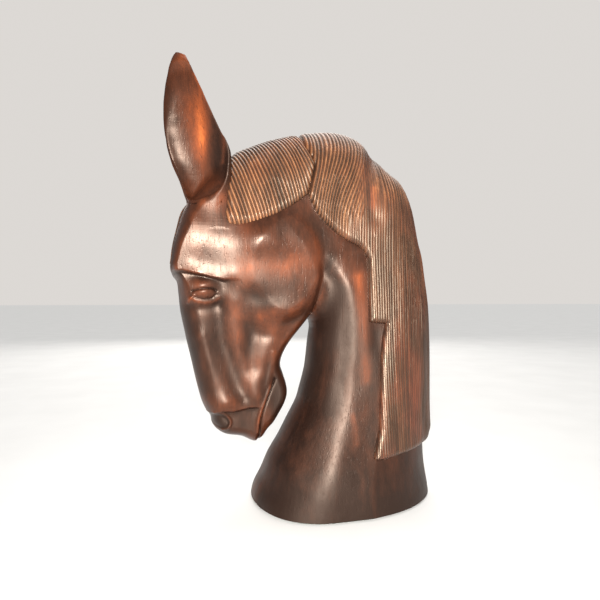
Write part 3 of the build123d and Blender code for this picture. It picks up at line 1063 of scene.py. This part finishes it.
def felt_form(x, y, z):
    corner = 0.8 * np.maximum(np.abs(z - 1) - 0.2, 0) ** 2
    fuzz = 0.35 * lattice_noise(x, y, 3.0, SEED + 9)
    return neck_form(x, y, FELT_TOP + 0 * z) + 3.0 + corner + fuzz


def felt_side(x, y, z):
    return np.maximum(z - FELT_TOP, -z)


def build_piece(name, form, region, low, high, step, marks):
    """A piece, and with a left one its mirrored right twin."""
    points, faces = carve(form, region, low, high, step)
    normals = corner_normals(points, faces, form, region)
    painted = marks(points)
    made = {name: add_mesh(name, points, faces, normals, painted)}
    if name.startswith("left"):
        twin = name.replace("left", "right")
        made[twin] = add_mesh(twin, *mirrored(points, faces, normals), painted)
    return made


def all_coarse(x, z):
    return np.ones_like(z)


fall_marks = hair_marks(crest_phase, fine_phase, crest_share)
lock_marks = hair_marks(lock_phase, lock_phase, all_coarse)
forelock_marks = hair_marks(forelock_phase, forelock_phase, all_coarse)
board_hole, head_hole = dowel_holes("neck"), dowel_holes("head")
scarf_hole, ear_hole = dowel_holes("scarf"), dowel_holes("ear")

carved = {}
carved.update(build_piece(
    "left_neck_board_carved", body_form, all_of(left_board, neck_side, board_hole),
    (-104, -78, 0), (104, -20, 392), (1.15, 1.1, 1.25), body_marks))
carved.update(build_piece(
    "centre_neck_board_carved", body_form, all_of(centre_board, neck_side, board_hole, scarf_hole),
    (-104, -22, 0), (104, 22, 392), (1.2, 1.15, 1.3), body_marks))
carved.update(build_piece(
    "left_head_board_carved", body_form, all_of(left_board, head_side, head_hole, ear_hole),
    (-186, -64, 58), (50, -20, 388), (1.0, 1.02, 1.02), body_marks))
carved.update(build_piece(
    "centre_head_board_carved", body_form, all_of(centre_board, head_side, head_hole, scarf_hole, ear_hole),
    (-186, -22, 58), (50, 22, 388), (1.18, 1.18, 1.18), body_marks))
carved.update(build_piece(
    "left_ear_carved", body_form, all_of(left_half, ear_region, ear_hole),
    (-200, -62, 286), (-110, -4, 451), (0.75, 0.75, 0.8), body_marks))
carved.update(build_piece(
    "left_mane_carved", fall_form, all_of(left_half, fall_side, outside(body_form)),
    (-54, -84, 54), (110, 2, 396), (0.62, 0.9, 2.1), fall_marks))
carved.update(build_piece(
    "left_crest_lock_carved", lock_form, all_of(left_half, lock_side, outside(body_form)),
    (-130, -62, 278), (-42, 2, 396), (0.62, 0.8, 1.1), lock_marks))
carved.update(build_piece(
    "forelock_carved", forelock_form, all_of(forelock_side, outside(body_form)),
    (-190, -22, 242), (-112, 22, 366), (0.7, 0.6, 1.0), forelock_marks))
carved.update(build_piece(
    "felt_pad", felt_form, felt_side, (-104, -80, -1), (104, 80, 3), (1.6, 1.6, 0.5), no_marks))

STANDS_FOR = {
    "left_neck_board_carved": "neck_left_board", "right_neck_board_carved": "neck_right_board",
    "centre_neck_board_carved": "neck_centre_board", "left_head_board_carved": "head_left_board",
    "right_head_board_carved": "head_right_board", "centre_head_board_carved": "head_centre_board",
    "left_ear_carved": "left_ear", "right_ear_carved": "right_ear",
    "left_mane_carved": "left_mane", "right_mane_carved": "right_mane",
    "left_crest_lock_carved": "left_crest_lock", "right_crest_lock_carved": "right_crest_lock",
    "forelock_carved": "forelock", "felt_pad": "base_felt",
}
HAIR = ("mane", "lock", "forelock")

body_material = stained_wood()
hair_material = mane_wood()
felt_material = wool_felt()
dowel_material = dowel_wood()
for name, piece in carved.items():
    if name == "felt_pad":
        slot, material = "felt", felt_material
    elif any(word in name for word in HAIR):
        slot, material = "mane_wood", hair_material
    else:
        slot, material = "stained_wood", body_material
    piece.data.materials.append(material)
    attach(piece, "root")
    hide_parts(STANDS_FOR[name])

for name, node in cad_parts.items():
    if "dowel" in name:
        for place in node.material_slots:
            place.material = dowel_material


# ---------------------------------------------------------------- floor, light and camera
def add_floor():
    bpy.ops.mesh.primitive_plane_add(size=40)
    floor = bpy.context.object
    floor.name = "floor"
    n = Nodes("Pale floor")
    tone = n.noise(n.place((1, 1, 1)), 9, 3, 0.5)
    n.finish(Base_Color=n.ramp(tone, (0.3, (0.72, 0.72, 0.71)), (0.7, (0.76, 0.76, 0.75))), Roughness=0.75)
    floor.data.materials.append(n.material)


def add_lamp(name, kind, place, target, power, colour=(1, 1, 1), **settings):
    data = bpy.data.lights.new(name, kind)
    data.energy, data.color = power, colour
    for setting, value in settings.items():
        setattr(data, setting, value)
    light = bpy.data.objects.new(name, data)
    light.location = place
    light.rotation_euler = (Vector(target) - Vector(place)).to_track_quat("-Z", "Y").to_euler()
    bpy.context.scene.collection.objects.link(light)


def add_world():
    """A pale room that looks brighter to the camera than it lights the piece."""
    world = bpy.data.worlds.new("studio")
    world.use_nodes = True
    tree = world.node_tree
    backdrop = tree.nodes["Background"]
    backdrop.inputs["Color"].default_value = rgb(1.0, 0.96, 0.92)
    seen = tree.nodes.new("ShaderNodeLightPath").outputs["Is Camera Ray"]
    brightness = tree.nodes.new("ShaderNodeMapRange")
    brightness.inputs["To Min"].default_value = 0.2
    brightness.inputs["To Max"].default_value = 0.72
    tree.links.new(seen, brightness.inputs["Value"])
    tree.links.new(brightness.outputs["Result"], backdrop.inputs["Strength"])
    bpy.context.scene.world = world


def add_camera():
    data = bpy.data.cameras.new("camera")
    data.lens, data.sensor_width = 28, 36
    camera = bpy.data.objects.new("camera", data)
    camera.location = (-0.1603, -0.4917, 0.209)
    camera.rotation_euler = Vector((0.225, 0.974, 0)).to_track_quat("-Z", "Y").to_euler()
    bpy.context.scene.collection.objects.link(camera)
    bpy.context.scene.camera = camera


add_floor()
middle = (-0.06, 0, 0.23)
add_lamp("key", "SPOT", (-0.20, -0.60, 0.25), middle, 41, (1.0, 0.97, 0.93),
         shadow_soft_size=0.08, spot_size=math.radians(90), spot_blend=1.0)
add_lamp("fill", "AREA", (0.75, -1.0, 0.9), middle, 3, (1.0, 0.94, 0.86), shape="DISK", size=1.2)
add_lamp("back_fill", "AREA", (0.1, 1.5, 1.1), middle, 15, (1.0, 0.96, 0.92), shape="DISK", size=1.8)
add_lamp("overhead", "SUN", (0.25, 0.3, 1.0), (0, 0, 0), 2.3, angle=math.radians(60))
add_world()
bpy.context.scene.view_settings.view_transform = "Standard"
add_camera()
